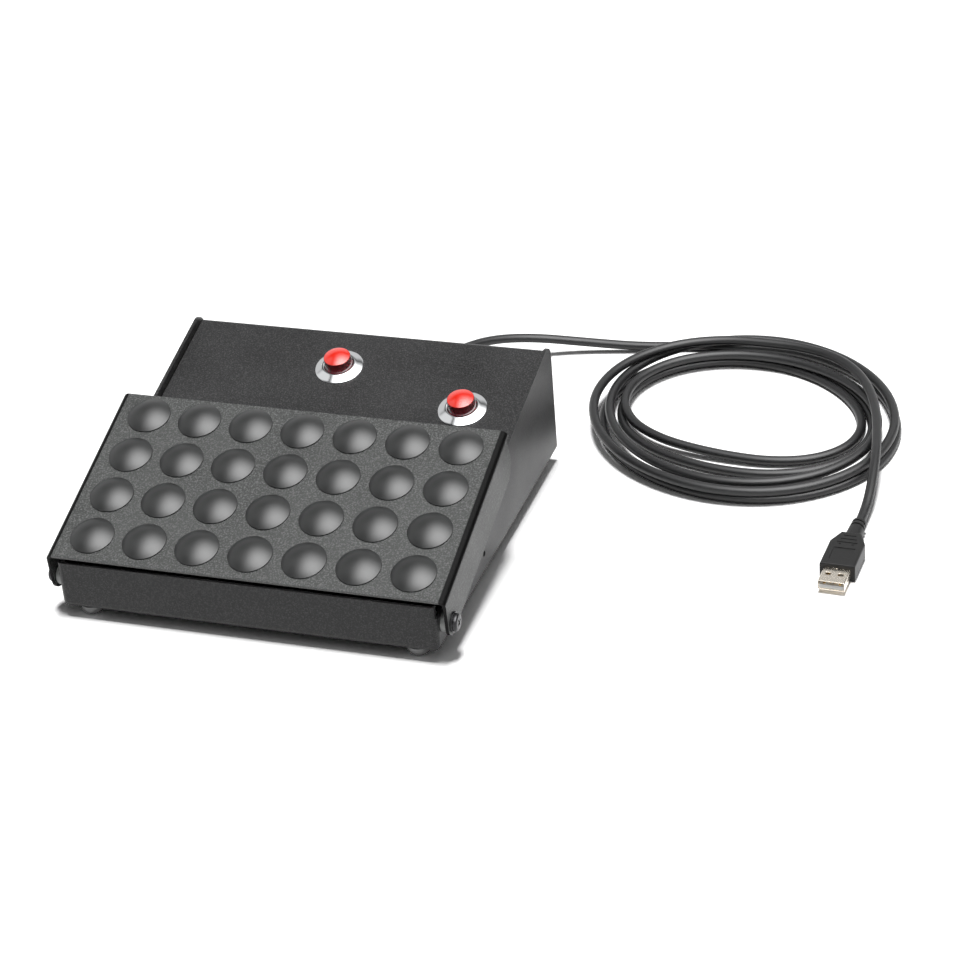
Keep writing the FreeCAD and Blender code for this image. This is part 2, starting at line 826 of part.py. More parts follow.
def bracket_screw_places():
    line = bracket_ramp()
    return [(0.0, line[0].y + bracket_foot / 2), (0.0, line[-1].y - bracket_foot / 2 + bracket_sheet)]


def sensor_bracket():
    wall_x = pot_offset + pot_width
    strip = folded(bracket_ramp(), bracket_sheet, bracket_sheet / 2, V(1, 0, 0), wall_x + bracket_side)
    strip.translate(V(-bracket_side, 0, 0))
    wall = Part.makeBox(bracket_sheet, pot_breadth, pot_top - seat_level + bracket_sheet / 2,
                        V(wall_x, -pot_breadth / 2, seat_level - bracket_sheet / 2))
    bracket = strip.fuse(on_panel(wall, 0, rod_from_pivot)).removeSplitter()
    drills = [cylinder(small_screw_radius + small_screw_gap, 4 * bracket_sheet, V(x, y, floor_top - bracket_sheet))
              for x, y in bracket_screw_places()]
    return bracket.cut(Part.makeCompound(drills))


def bracket_screws():
    head = floor_top + bracket_sheet
    return [pan_screw(small_screw_radius, bracket_sheet + sheet, small_head_radius, small_head_height,
                      V(x, y, head), V(0, 0, 1)) for x, y in bracket_screw_places()]


# Push buttons


def button_bezel():
    bore = cap_radius + cap_gap
    wide = barrel_radius - barrel_wall
    return turned([(bore, bezel_height), (bore, -cap_seat_depth), (wide, -cap_seat_depth), (wide, -barrel_length),
                   (barrel_radius, -barrel_length), (barrel_radius, 0), (bezel_radius, 0),
                   (bezel_radius, bezel_lip), (bezel_top_radius, bezel_height)])


def button_cap():
    top = bezel_height + cap_above_bezel
    rim_top = -cap_seat_depth - cap_rim_gap
    rim_low = rim_top - cap_rim_thickness
    stem_low = -barrel_length - switch_neck
    shoulder = top - cap_crown
    points = [V(0, 0, stem_low), V(cap_stem_radius, 0, stem_low), V(cap_stem_radius, 0, rim_low),
              V(cap_rim_radius, 0, rim_low), V(cap_rim_radius, 0, rim_top), V(cap_radius, 0, rim_top),
              V(cap_radius, 0, bezel_height), V(cap_top_radius, 0, shoulder - cap_edge)]
    edges = [Part.makeLine(a, b) for a, b in zip(points, points[1:])]
    edge_start = V(cap_top_radius - cap_edge, 0, shoulder)
    corner = V(cap_top_radius - cap_edge * (1 - math.sin(math.radians(45))), 0,
               shoulder - cap_edge * (1 - math.sin(math.radians(45))))
    edges.append(Part.Arc(points[-1], corner, edge_start).toShape())
    edges.append(crown(cap_top_radius - cap_edge, shoulder, cap_crown))
    edges.append(Part.makeLine(V(0, 0, top), points[0]))
    return Part.Face(Part.Wire(edges)).revolve(V(0, 0, 0), V(0, 0, 1), 360)


def button_spring():
    top = -cap_seat_depth - cap_rim_gap - cap_rim_thickness
    return helix(button_spring_radius, -barrel_length + switch_neck, top, button_spring_turns, button_spring_wire)


def switch_body():
    """A round switch that plugs into the barrel's end, with a well for the cap's stem."""
    well = cap_stem_radius + switch_stem_gap
    floor = -barrel_length - switch_neck - cap_travel - switch_stem_gap
    low = -barrel_length - switch_depth
    neck = barrel_radius - barrel_wall - barrel_gap
    return turned([(0, low), (barrel_radius, low), (barrel_radius, -barrel_length), (neck, -barrel_length),
                   (neck, -barrel_length + switch_neck), (well, -barrel_length + switch_neck), (well, floor),
                   (0, floor)])


def switch_terminals():
    low = -barrel_length - switch_depth
    blades = []
    for side in (-1, 1):
        blade = Part.makeBox(terminal_thickness, terminal_width, terminal_length,
                             V(side * terminal_spread / 2 - terminal_thickness / 2, -terminal_width / 2,
                               low - terminal_length))
        eye = cylinder(terminal_width / 4, terminal_spread, V(-terminal_spread / 2 * 1.2, 0,
                                                              low - 0.7 * terminal_length), V(1, 0, 0))
        blades.append(blade.cut(eye))
    return blades


def button_nut():
    return hex_nut(button_nut_flats, button_nut_thickness, barrel_radius + thread_gap, V(0, 0, -sheet), V(0, 0, -1))


def placed_on_panel(shapes, x, along):
    place = on_panel(Part.makeSphere(1), x, along).Placement
    for shape in shapes:
        shape.Placement = place.multiply(shape.Placement)
    return shapes


# Circuit board, behind the sensor's bracket

board_y = bracket_ramp()[-1].y + board_gap + board_depth / 2


def board_screw_places():
    x = board_width / 2 - board_hole_inset
    y = board_depth / 2 - board_hole_inset
    return [(board_x + a * x, board_y + b * y) for a in (-1, 1) for b in (-1, 1)]


board_low = floor_top + standoff_height
board_top = board_low + board_thickness


def circuit_board():
    board = Part.makeBox(board_width, board_depth, board_thickness,
                         V(board_x - board_width / 2, board_y - board_depth / 2, board_low))
    drills = [cylinder(small_screw_radius + small_screw_gap, board_thickness, V(x, y, board_low))
              for x, y in board_screw_places()]
    return board.cut(Part.makeCompound(drills))


def board_standoffs():
    return [hex_nut(standoff_flats, standoff_height, small_screw_radius + thread_gap, V(x, y, floor_top))
            for x, y in board_screw_places()]


def board_screws():
    return [pan_screw(small_screw_radius, board_thickness + standoff_height * 0.7, small_head_radius,
                      small_head_height, V(x, y, board_top), V(0, 0, 1)) for x, y in board_screw_places()]


def board_chip():
    chip = Part.makeBox(chip_size, chip_size, chip_height,
                        V(board_x - chip_size / 2, board_y - chip_size / 2, board_top))
    return chip.makeChamfer(chip_height / 6, [e for e in chip.Edges if e.CenterOfMass.z > board_top + chip_height - 1e-6])


def header_places():
    """The cable's header at the back edge, and the sensor's and the buttons' at the front edge."""
    rear = board_y + board_depth / 2 - header_depth - header_setback
    front = board_y - board_depth / 2 + header_setback
    return [(gland_x - header_width / 2, rear), (board_x - header_width - header_spread, front),
            (board_x + header_spread, front)]


def board_headers():
    solids = []
    for x, y in header_places():
        block = Part.makeBox(header_width, header_depth, header_height, V(x, y, board_top))
        floor = board_top + header_floor
        pocket = Part.makeBox(header_width - 2 * header_wall, header_depth - 2 * header_wall, header_height,
                              V(x + header_wall, y + header_wall, floor))
        first = x + header_width / 2 - 1.5 * pin_pitch - pin_thickness / 2
        pins = [Part.makeBox(pin_thickness, pin_thickness, header_height - header_floor - pin_recess,
                             V(first + pin_pitch * k, y + (header_depth - pin_thickness) / 2, floor))
                for k in range(4)]
        if y > board_y:
            solids.append(block)
        else:
            solids.append(block.cut(pocket).fuse(pins).removeSplitter())
    return solids


# Cable

gland_z = base_z + gland_height
lead_start = V(gland_x, half_depth + gland_flange + gland_boot_length, gland_z)


def cable_gland():
    boot = gland_flange + gland_boot_length
    body = turned([(0, -sheet - gland_barrel_length), (gland_barrel_radius, -sheet - gland_barrel_length),
                   (gland_barrel_radius, 0), (gland_flange_radius, 0), (gland_flange_radius, gland_flange - 0.5),
                   (gland_flange_radius - 0.5, gland_flange), (gland_boot_root, gland_flange),
                   (gland_boot_end, boot), (0, boot)], V(0, 1, 0))
    body.translate(V(gland_x, half_depth, gland_z))
    return body


def gland_nut():
    return hex_nut(gland_nut_flats, gland_nut_thickness, gland_barrel_radius + thread_gap,
                   V(gland_x, half_depth - sheet, gland_z), V(0, -1, 0))


def inner_lead_route():
    start = V(gland_x, half_depth - sheet - gland_barrel_length, gland_z)
    end = V(gland_x, board_y + board_depth / 2 - header_setback, board_top + header_height / 2)
    fall = end.z - start.z
    reach = end.y - start.y
    return [start, start + V(0, reach * 0.3, 0), start + V(0, reach * 0.68, fall), end]


# The cable's points from the gland to the coil, and from the coil to the plug, as it lies on the floor
lead_first_run = 18.0
lead_last_run = 24.0
tail_first_run = 12.5
tail_last_run = 9.5
lead_points = [V(18.6, 147.5, 19.4), V(28.8, 168.5, 15.4), V(46.0, 183.8, 10.2), V(70.5, 192.0, 5.7),
               V(98.5, 197.3, 2.9)]
tail_points = [V(209.1, 192.3, 12.9), V(216.6, 182.5, 12.9), V(222.4, 167.0, 12.8), V(228.8, 145.0, 12.6),
               V(234.4, 120.0, 12.6), V(238.2, 96.0, 12.1), V(240.2, 74.0, 7.6)]


def coil_inward(t):
    """How many steps the coil has wound inwards after t turns, easing over where it turns back."""
    middle = coil_turns / 2
    ease = 0.25
    outward = (middle - coil_end_inward) / middle
    if t < middle - ease:
        return t
    if t > middle + ease:
        return coil_end_inward + outward * (coil_turns - t)
    first = middle - ease
    last = coil_end_inward + outward * (middle - ease)
    part = (t - middle + ease) / (2 * ease)
    steep = 2 * ease * (1 - part) * part * (1 - part + outward * part)
    return first + (last - first) * part * part * (3 - 2 * part) + steep


def coil_level(t):
    low = cable_radius + coil_floor_gap
    climb = 2 * cable_radius + coil_layer_gap
    part = min(max(t - coil_turns / 2 + 0.25, 0.0) / 0.5, 1.0)
    lift = max(t - coil_turns + coil_lift_turns, 0.0) / coil_lift_turns
    return low + climb * (3 * part ** 2 - 2 * part ** 3) + coil_end_lift * lift ** 2


def coil_point(t):
    angle = math.radians(coil_start_angle) - 2 * math.pi * t
    inward = coil_inward(t)
    lean = -coil_lean * math.sin(2 * angle)
    x = coil_x + (coil_half_width + lean - coil_width_step * inward) * math.cos(angle)
    y = coil_y + coil_drift * inward + (coil_half_depth + lean - coil_depth_step * inward) * math.sin(angle)
    return V(x, y, coil_level(t))


def coil_place(t):
    step = 1e-5
    return coil_point(t), (coil_point(t + step) - coil_point(t - step)).normalize()


def coil_knots():
    middle = coil_turns / 2
    quarters = int((middle - 0.25) / 0.25)
    first = [(middle - 0.25) * k / quarters for k in range(quarters)]
    return first + [middle - 0.25, middle, middle + 0.25] + [coil_turns - t for t in reversed(first)]


def plug_local(x, y, z):
    """A point of the plug's own frame, whose Y runs from its tip back along the cable."""
    turn = math.radians(plug_turn)
    return V(plug_x + x * math.cos(turn) + y * math.sin(turn), plug_y - x * math.sin(turn) + y * math.cos(turn), z)


relief_tip = plug_taper_end + relief_length


def lead_route():
    start, heading = coil_place(0.0)
    joint = start - heading * coil_end_straight
    return [lead_start, lead_start + V(0, lead_first_run, 0)] + lead_points + [joint - heading * lead_last_run, joint]


def tail_route():
    end, heading = coil_place(coil_turns)
    joint = end + heading * coil_end_straight
    centre = plug_height / 2
    plug_end = [plug_local(0, relief_tip + tail_last_run, centre), plug_local(0, relief_tip, centre)]
    return [joint, joint + heading * tail_first_run] + tail_points + plug_end


def cable_run(name, points):
    edges, radii = route_edges(points)
    solid, path = swept(edges, cable_radius)
    section = math.pi * cable_radius ** 2
    print(name, "length %.1f" % path.Length, "volume over section times length %.4f"
          % (solid.Volume / (section * path.Length)), "radii", [round(r) for r in radii])
    return solid, path


def cable_coil():
    solid, path = wound(coil_place, coil_knots(), cable_radius, coil_end_straight, coil_end_straight)
    section = math.pi * cable_radius ** 2
    print("coil length %.1f" % path.Length, "volume over section times length %.4f"
          % (solid.Volume / (section * path.Length)))
    return solid, path


def least_gap(paths):
    """Least gap of the cable to itself, measured on points along its whole length."""
    spacing = cable_radius
    near = 4 * cable_radius
    points = []
    for path in paths:
        points += path.discretize(Distance=spacing)[:-1]
    apart = int(4 * near / spacing)
    least = 1e9
    for i, here in enumerate(points):
        for other in points[i + apart:]:
            if abs(here.x - other.x) < near and abs(here.y - other.y) < near:
                least = min(least, here.distanceToPoint(other))
    return least - 2 * cable_radius


# Plug


def place_plug(shape):
    place = FreeCAD.Placement(V(plug_x, plug_y, 0), FreeCAD.Rotation(V(0, 0, 1), -plug_turn))
    shape.Placement = place.multiply(shape.Placement)
    return shape


def plug_block(half, front, rear, low, high):
    return Part.makeBox(2 * half, rear - front, high - low, V(-half, front, low))


def rounded_block(half, front, rear, low, high, corner):
    """A block of the plug, with its four edges along the cable's direction rounded."""
    block = plug_block(half, front, rear, low, high)
    return block.makeFillet(corner, [e for e in block.Edges if abs(e.tangentAt(e.FirstParameter).y) > 0.99])


def plug_marks():
    """What is sunk into the plug's top: a plain recess for the thumb, two dots and three grip grooves."""
    floor = plug_height - plug_recess_depth
    marks = [plug_block(plug_recess_half, plug_recess_front, plug_recess_rear, floor, plug_height + 1)]
    marks += [cylinder(plug_dot_radius, 2.0, V(side * plug_dot_spread, plug_dot_y, floor)) for side in (-1, 1)]
    marks += [plug_block(half, y, y + plug_grip_breadth, floor, plug_height + 1) for y, half in plug_grips]
    return Part.makeCompound(marks)


def usb_plug_body():
    half = plug_width / 2
    neck = plug_taper_width / 2
    outline = [V(-half, plug_body_front, 0), V(half, plug_body_front, 0), V(half, plug_shoulder, 0),
               V(neck, plug_taper_end, 0), V(-neck, plug_taper_end, 0), V(-half, plug_shoulder, 0)]
    body = polygon(outline).extrude(V(0, 0, plug_height))
    rims = [e for e in body.Edges if e.CenterOfMass.z < 1e-6 or e.CenterOfMass.z > plug_height - 1e-6]
    body = body.makeFillet(plug_edge_round, rims)
    centre = plug_height / 2
    profile = [(0, -2.0), (relief_root, -2.0)]

    def boot_radius(y):
        return relief_root + (relief_end - relief_root) * y / relief_length

    for start in relief_groove_starts:
        end = start + relief_groove_width
        profile += [(boot_radius(start), start), (boot_radius(start) - relief_groove_depth, start),
                    (boot_radius(end) - relief_groove_depth, end), (boot_radius(end), end)]
    profile += [(relief_end, relief_length), (0, relief_length)]
    relief = turned(profile, V(0, 1, 0))
    relief.translate(V(0, plug_taper_end, centre))
    body = body.fuse(relief).removeSplitter()
    pocket = rounded_block(shell_width / 2, plug_body_front - 1, plug_body_front + shell_inside,
                           centre - shell_height / 2, centre + shell_height / 2, shell_corner)
    return place_plug(body.cut(pocket).cut(plug_marks()))


def usb_plug_shell():
    centre = plug_height / 2
    low = centre - shell_height / 2
    high = centre + shell_height / 2
    rear = plug_body_front + shell_inside
    outer = rounded_block(shell_width / 2, 0, rear, low, high, shell_corner)
    inner = rounded_block(shell_width / 2 - shell_wall, -1, rear + 1, low + shell_wall, high - shell_wall,
                          shell_corner - shell_wall)
    shell = outer.cut(inner)
    for side in (-1, 1):
        hole = Part.makeBox(shell_hole_width, shell_hole_length, shell_wall * 3,
                            V(side * shell_hole_spread / 2 - shell_hole_width / 2, shell_hole_front,
                              high - 2 * shell_wall))
        shell = shell.cut(hole)
    notch = cylinder(shell_notch / 2, shell_wall * 3, V(0, plug_body_front - shell_notch, high - 2 * shell_wall))
    return place_plug(shell.cut(notch))


def usb_plug_tongue():
    low = plug_height / 2 - shell_height / 2 + shell_wall
    half = shell_width / 2 - shell_wall
    rear = plug_body_front + shell_inside
    tongue = plug_block(half, tongue_setback, rear, low, low + tongue_height)
    back = plug_block(half, plug_body_front, rear, low, low + shell_height - 2 * shell_wall)
    bore = rounded_block(half, tongue_setback, rear, low, low + shell_height - 2 * shell_wall,
                         shell_corner - shell_wall)
    return place_plug(tongue.fuse(back).common(bore).removeSplitter())


def usb_plug_contacts():
    """Four contact strips that lie on the tongue."""
    level = plug_height / 2 - shell_height / 2 + shell_wall + tongue_height
    solids = []
    for k, setback in enumerate((0.8, 1.8, 1.8, 0.8)):
        x = (-3.5, -1.0, 1.0, 3.5)[k]
        strip = plug_block(contact_width / 2, tongue_setback + setback, plug_body_front, level, level + 0.15)
        strip.translate(V(x, 0, 0))
        solids.append(place_plug(strip))
    return solids


def write(nodes):
    os.makedirs("parts", exist_ok=True)
    for name, made in nodes.items():
        shape = Part.makeCompound(made) if isinstance(made, list) else made
        solids = shape.Solids
        if not shape.isValid() or not solids:
            print("not valid:", name)
        if not isinstance(made, list):
            shape = solids[0] if len(solids) == 1 else shape
        shape.exportStep("parts/%s.step" % name)
        print("%-24s solids %2d volume %10.1f" % (name, len(solids), shape.Volume))


def main():
    lead, lead_path = cable_run("lead", lead_route())
    coil, coil_path = cable_coil()
    tail, tail_path = cable_run("tail", tail_route())
    inner, inner_path = cable_run("inner lead", inner_lead_route())
    print("cable length %.1f" % (lead_path.Length + coil_path.Length + tail_path.Length))
    print("least gap of the cable to itself %.2f" % least_gap([lead_path, coil_path, tail_path]))
    print("panel slope %.3f, push rod travel %.3f per %.1f degrees" % (panel_angle, rod_travel, pedal_stroke))
    nodes = {
        "base_tray": base_tray(),
        "top_cover": top_cover(),
        "cover_screws": cover_screws(),
        "feet": feet(),
        "pedal_plate": pedal_plate(),
        "grip_studs": grip_studs(),
        "pivot_screws": pivot_screws(),
        "pivot_washers": pivot_washers(),
        "pivot_spacers": pivot_spacers(),
        "pivot_nuts": pivot_nuts(),
        "bump_stops": bump_stops(),
        "push_rod": push_rod(),
        "rod_collar": rod_collar(),
        "rod_guide_bush": rod_guide_bush(),
        "bush_nut": bush_nut(),
        "return_spring": return_spring(),
        "slide_pot_body": slide_pot_body(),
        "slide_pot_lever": slide_pot_lever(),
        "sensor_bracket": sensor_bracket(),
        "bracket_screws": bracket_screws(),
        "circuit_board": circuit_board(),
        "board_chip": board_chip(),
        "board_headers": board_headers(),
        "board_standoffs": board_standoffs(),
        "board_screws": board_screws(),
        "cable_gland": cable_gland(),
        "gland_nut": gland_nut(),
        "cable_inner_lead": inner,
        "usb_cable_lead": lead,
        "usb_cable_coil": coil,
        "usb_cable_tail": tail,
        "usb_plug_body": usb_plug_body(),
        "usb_plug_shell": usb_plug_shell(),
        "usb_plug_tongue": usb_plug_tongue(),
        "usb_plug_contacts": usb_plug_contacts(),
    }
    for side in button_places:
        x, along = button_place(side)
        pieces = {"bezel": button_bezel(), "cap": button_cap(), "nut": button_nut(), "spring": button_spring(),
                  "switch": switch_body()}
        for name, shape in pieces.items():
            nodes["%s_button_%s" % (side, name)] = placed_on_panel([shape], x, along)[0]
        nodes["%s_switch_terminals" % side] = placed_on_panel(switch_terminals(), x, along)
    write(nodes)


main()
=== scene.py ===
"""A foot controller: a black steel housing with a studded pedal, two red push buttons and a coiled cable.

The sections follow the object as it is put together. Sizes are in millimetres, and MM turns them into metres.
"""
import bmesh
import bpy
import math
from mathutils import Matrix, Vector


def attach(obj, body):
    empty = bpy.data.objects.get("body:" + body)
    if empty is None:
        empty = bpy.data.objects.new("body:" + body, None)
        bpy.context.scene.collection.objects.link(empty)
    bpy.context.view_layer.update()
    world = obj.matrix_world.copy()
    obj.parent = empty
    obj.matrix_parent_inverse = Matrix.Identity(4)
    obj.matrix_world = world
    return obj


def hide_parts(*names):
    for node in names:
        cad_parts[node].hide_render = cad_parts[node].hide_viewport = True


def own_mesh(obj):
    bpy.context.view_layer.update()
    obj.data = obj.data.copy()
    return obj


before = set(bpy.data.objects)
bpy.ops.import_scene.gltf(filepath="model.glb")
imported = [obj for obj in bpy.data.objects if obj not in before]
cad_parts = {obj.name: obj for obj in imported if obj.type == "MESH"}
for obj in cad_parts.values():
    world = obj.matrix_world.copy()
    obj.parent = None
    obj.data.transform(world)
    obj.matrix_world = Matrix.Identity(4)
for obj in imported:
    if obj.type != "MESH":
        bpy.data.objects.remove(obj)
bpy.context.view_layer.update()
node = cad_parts
MM = 0.001


# The housing is a folded steel tray closed by a folded cover, both in black textured powder coat.
# Its bends are rounded by the press brake, and painted glints lie on the crests of the coat's fine grain.


def node_group(name, inputs, outputs):
    """A shader node group with named inputs and outputs; gives its tree and its two end nodes."""
    group = bpy.data.node_groups.new(name, "ShaderNodeTree")
    for label, kind, value in inputs:
        socket = group.interface.new_socket(label, in_out="INPUT", socket_type=kind)
        socket.default_value = value
    for label, kind in outputs:
        group.interface.new_socket(label, in_out="OUTPUT", socket_type=kind)
    return group, group.nodes.new("NodeGroupInput"), group.nodes.new("NodeGroupOutput")


def add(tree, kind, inputs=None, **settings):
    """A node with its settings and its inputs, which are values or other nodes' outputs."""
    made = tree.nodes.new("ShaderNode" + kind)
    for name, value in settings.items():
        setattr(made, name, value)
    for name, value in (inputs or {}).items():
        if isinstance(value, bpy.types.NodeSocket):
            tree.links.new(value, made.inputs[name])
        else:
            made.inputs[name].default_value = value
    return made


def make_grain():
    """The fine relief of a coat or moulding, painted glints on its crests, and slow changes of shade and
    gloss.
    """
    floats = [("Grain Size", "NodeSocketFloat", 0.4), ("Mottle", "NodeSocketFloat", 0.1),
              ("Gloss Spread", "NodeSocketFloat", 0.05), ("Roughness", "NodeSocketFloat", 0.5),
              ("Painted Glint", "NodeSocketFloat", 0.0)]
    group, start, end = node_group("grain", [("Colour", "NodeSocketColor", (0, 0, 0, 1))] + floats,
                                   [("Colour", "NodeSocketColor"), ("Roughness", "NodeSocketFloat"),
                                    ("Height", "NodeSocketFloat")])
    cloud_scale = 26.0
    place = add(group, "TexCoord").outputs["Object"]
    fine_scale = add(group, "Math", {0: 1000.0, 1: start.outputs["Grain Size"]}, operation="DIVIDE")
    fine = add(group, "TexNoise", {"Vector": place, "Scale": fine_scale.outputs[0], "Detail": 3.0,
                                   "Roughness": 0.55})
    cloud = add(group, "TexNoise", {"Vector": place, "Scale": cloud_scale, "Detail": 4.0})
    noise = add(group, "Math", {0: fine.outputs["Fac"], 1: cloud.outputs["Fac"]}, operation="ADD")
    centred = add(group, "Math", {0: noise.outputs[0], 1: 1.0}, operation="SUBTRACT")
    shade = add(group, "Math", {0: centred.outputs[0], 1: start.outputs["Mottle"], 2: 1.0},
                operation="MULTIPLY_ADD")
    colour = add(group, "VectorMath", {0: start.outputs["Colour"], "Scale": shade.outputs[0]},
                 operation="SCALE")
    gloss = add(group, "Math", {0: centred.outputs[0], 1: start.outputs["Gloss Spread"],
                                2: start.outputs["Roughness"]}, operation="MULTIPLY_ADD")
    # Painted glints: pale flecks are added to the colour on the crests of the fine relief
    crest = add(group, "MapRange", {"Value": fine.outputs["Fac"], "From Min": 0.48, "From Max": 0.68},
                clamp=True)
    pale = add(group, "Math", {0: crest.outputs["Result"], 1: start.outputs["Painted Glint"]}, operation="MULTIPLY")
    with_glints = add(group, "VectorMath", {0: colour.outputs[0], 1: pale.outputs[0]}, operation="ADD")
    group.links.new(with_glints.outputs[0], end.inputs["Colour"])
    group.links.new(gloss.outputs[0], end.inputs["Roughness"])
    group.links.new(fine.outputs["Fac"], end.inputs["Height"])
    return group


grain = make_grain()


def grained(name, colour, roughness, size=0.4, mottle=0.1, gloss_spread=0.05, depth=0.02, metallic=0.0,
            specular=0.5, painted_glint=0.0):
    """A material whose colour, gloss and relief come from the grain; size and depth are in millimetres."""
    material = bpy.data.materials.new(name)
    material.use_nodes = True
    tree = material.node_tree
    shader = tree.nodes["Principled BSDF"]
    shader.inputs["Metallic"].default_value = metallic
    shader.inputs["Specular IOR Level"].default_value = specular
    relief = tree.nodes.new("ShaderNodeGroup")
    relief.node_tree = grain
    values = {"Colour": (*colour, 1), "Roughness": roughness, "Grain Size": size, "Mottle": mottle,
              "Gloss Spread": gloss_spread, "Painted Glint": painted_glint}
    for label, value in values.items():
        relief.inputs[label].default_value = value
    bump = add(tree, "Bump", {"Height": relief.outputs["Height"], "Distance": depth * MM, "Strength": 1.0})
    tree.links.new(relief.outputs["Colour"], shader.inputs["Base Color"])
    tree.links.new(relief.outputs["Roughness"], shader.inputs["Roughness"])
    tree.links.new(bump.outputs["Normal"], shader.inputs["Normal"])
    return material


weld_gap = 0.02
same_plane = math.radians(1)
sharp_edge = math.radians(38)


def dress(name, material, edge=0.0):
    """Give a CAD piece its material, merge its flat facets and soften its edges by the edge radius."""
    piece = node[name]
    piece.data.materials.clear()
    piece.data.materials.append(material)
    if edge:
        piece.modifiers.new("seams", "WELD").merge_threshold = weld_gap * MM
        merge = piece.modifiers.new("flats", "DECIMATE")
        merge.decimate_type = "DISSOLVE"
        merge.angle_limit = same_plane
        soften = piece.modifiers.new("edges", "BEVEL")
        soften.width = edge * MM
        soften.segments = 3
        soften.limit_method = "ANGLE"
        soften.angle_limit = sharp_edge
    piece.data.shade_smooth()
    piece.modifiers.new("shading", "WEIGHTED_NORMAL").keep_sharp = True
    return piece


housing_coat = grained("housing_coat", (0.026, 0.026, 0.0265), 0.38, size=0.65, mottle=0.6, gloss_spread=0.3,
                       depth=0.07, specular=0.22, painted_glint=0.042)
dress("base_tray", housing_coat, edge=0.3)
dress("top_cover", housing_coat, edge=0.3)


# Four countersunk steel screws hold the cover's flanges to the tray from below, flush with the bottom.
# They are zinc plated, like the other small screws and nuts inside.

zinc_steel = grained("zinc_steel", (0.62, 0.63, 0.62), 0.3, size=0.6, mottle=0.15, depth=0.004, metallic=1.0)
dress("cover_screws", zinc_steel, edge=0.1)


# Four stick-on feet of grey rubber stand under the corners, each a low glossy dome with a small flat.
# They are moulded in one piece, and only a short upright lip shows where they are glued on.

def place_on(origin, lean):
    """A place on the object: a point in millimetres and a lean about X, in radians."""
    return Matrix.Translation(Vector(origin) * MM) @ Matrix.Rotation(lean, 4, "X")


def arc(centre, radius, start, end, steps):
    """Points of a profile along an arc, by its angles in degrees."""
    points = []
    for k in range(steps + 1):
        angle = math.radians(start + (end - start) * k / steps)
        points.append((centre[0] + radius * math.cos(angle), centre[1] + radius * math.sin(angle)))
    return points


def spin(shape, profile, place, steps=64):
    """Add a turned form to a bmesh: the profile's (radius, height) points spun about Z, then put in place."""
    rings = []
    for radius, height in profile:
        ring = []
        for k in range(1 if radius < 1e-6 else steps):
            angle = 2 * math.pi * k / steps
            point = Vector((radius * math.cos(angle), radius * math.sin(angle), height)) * MM
            ring.append(shape.verts.new(place @ point))
        rings.append(ring)
    for low, high in zip(rings, rings[1:]):
        for k in range(steps):
            corners = [low[k % len(low)], low[(k + 1) % len(low)],
                       high[(k + 1) % len(high)], high[k % len(high)]]
            unique = list(dict.fromkeys(corners))
            if len(unique) > 2:
                shape.faces.new(unique)


crease = math.radians(30)


def piece_from(name, shape, material, body, stands_for):
    """Turn a bmesh into a piece that rides on a body and stands for CAD pieces."""
    bmesh.ops.recalc_face_normals(shape, faces=shape.faces)
    mesh = bpy.data.meshes.new(name)
    shape.to_mesh(mesh)
    shape.free()
    mesh.materials.append(material)
    mesh.shade_smooth()
    mesh.set_sharp_from_angle(angle=crease)
    piece = bpy.data.objects.new(name, mesh)
    bpy.context.scene.collection.objects.link(piece)
    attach(piece, body)
    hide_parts(*stands_for)
    return piece


foot_rubber = grained("foot_rubber", (0.2, 0.2, 0.2), 0.16, size=1.5, mottle=0.2, depth=0.01)
foot_radius = 5.75
foot_flat = 2.0
foot_height = 5.0
foot_lip = 0.6
foot_half_width = 76.75
foot_half_depth = 79.5
foot_profile = [(0, 0), (foot_radius - 0.1, 0), (foot_radius, 0.15), (foot_radius, foot_lip)]
for k in range(1, 13):
    angle = math.radians(90 * k / 12)
    foot_profile.append((foot_flat + (foot_radius - foot_flat) * math.cos(angle),
                         foot_lip + (foot_height - foot_lip) * math.sin(angle)))
foot_profile.append((0, foot_height))
shape = bmesh.new()
for x in (-foot_half_width, foot_half_width):
    for y in (-foot_half_depth, foot_half_depth):
        spin(shape, foot_profile, place_on((x, y, foot_height), lean=math.pi))
piece_from("rubber_feet", shape, foot_rubber, "root", ["feet"])


# The pedal is one folded channel of the same steel and coat, a flat plate with a flange down each side.
# Its side edges are tight bends. There painted shade darkens the coat, and the coat is made smoother and less
# reflective. Its front edge is a plain cut.

housing_depth = 173.4
housing_front = 16.2
housing_rear = 59.0
panel_slope = math.atan2(housing_rear - housing_front, housing_depth)
pivot = Vector((0, -78.8, 17.0))
pedal_tilt = panel_slope + math.radians(4.035)
half_pedal = 92.75
bend_reach = 3.3
bend_fade = 0.6
bend_shade_colour = (0.006, 0.006, 0.006, 1)
bend_roughness = 0.22
bend_specular = 0.05
pedal_specular = 0.6
pedal_coat = grained("pedal_coat", (0.021, 0.0225, 0.0215), 0.48, size=0.75, mottle=0.6, gloss_spread=0.4,
                     depth=0.14, specular=pedal_specular, painted_glint=0.1)


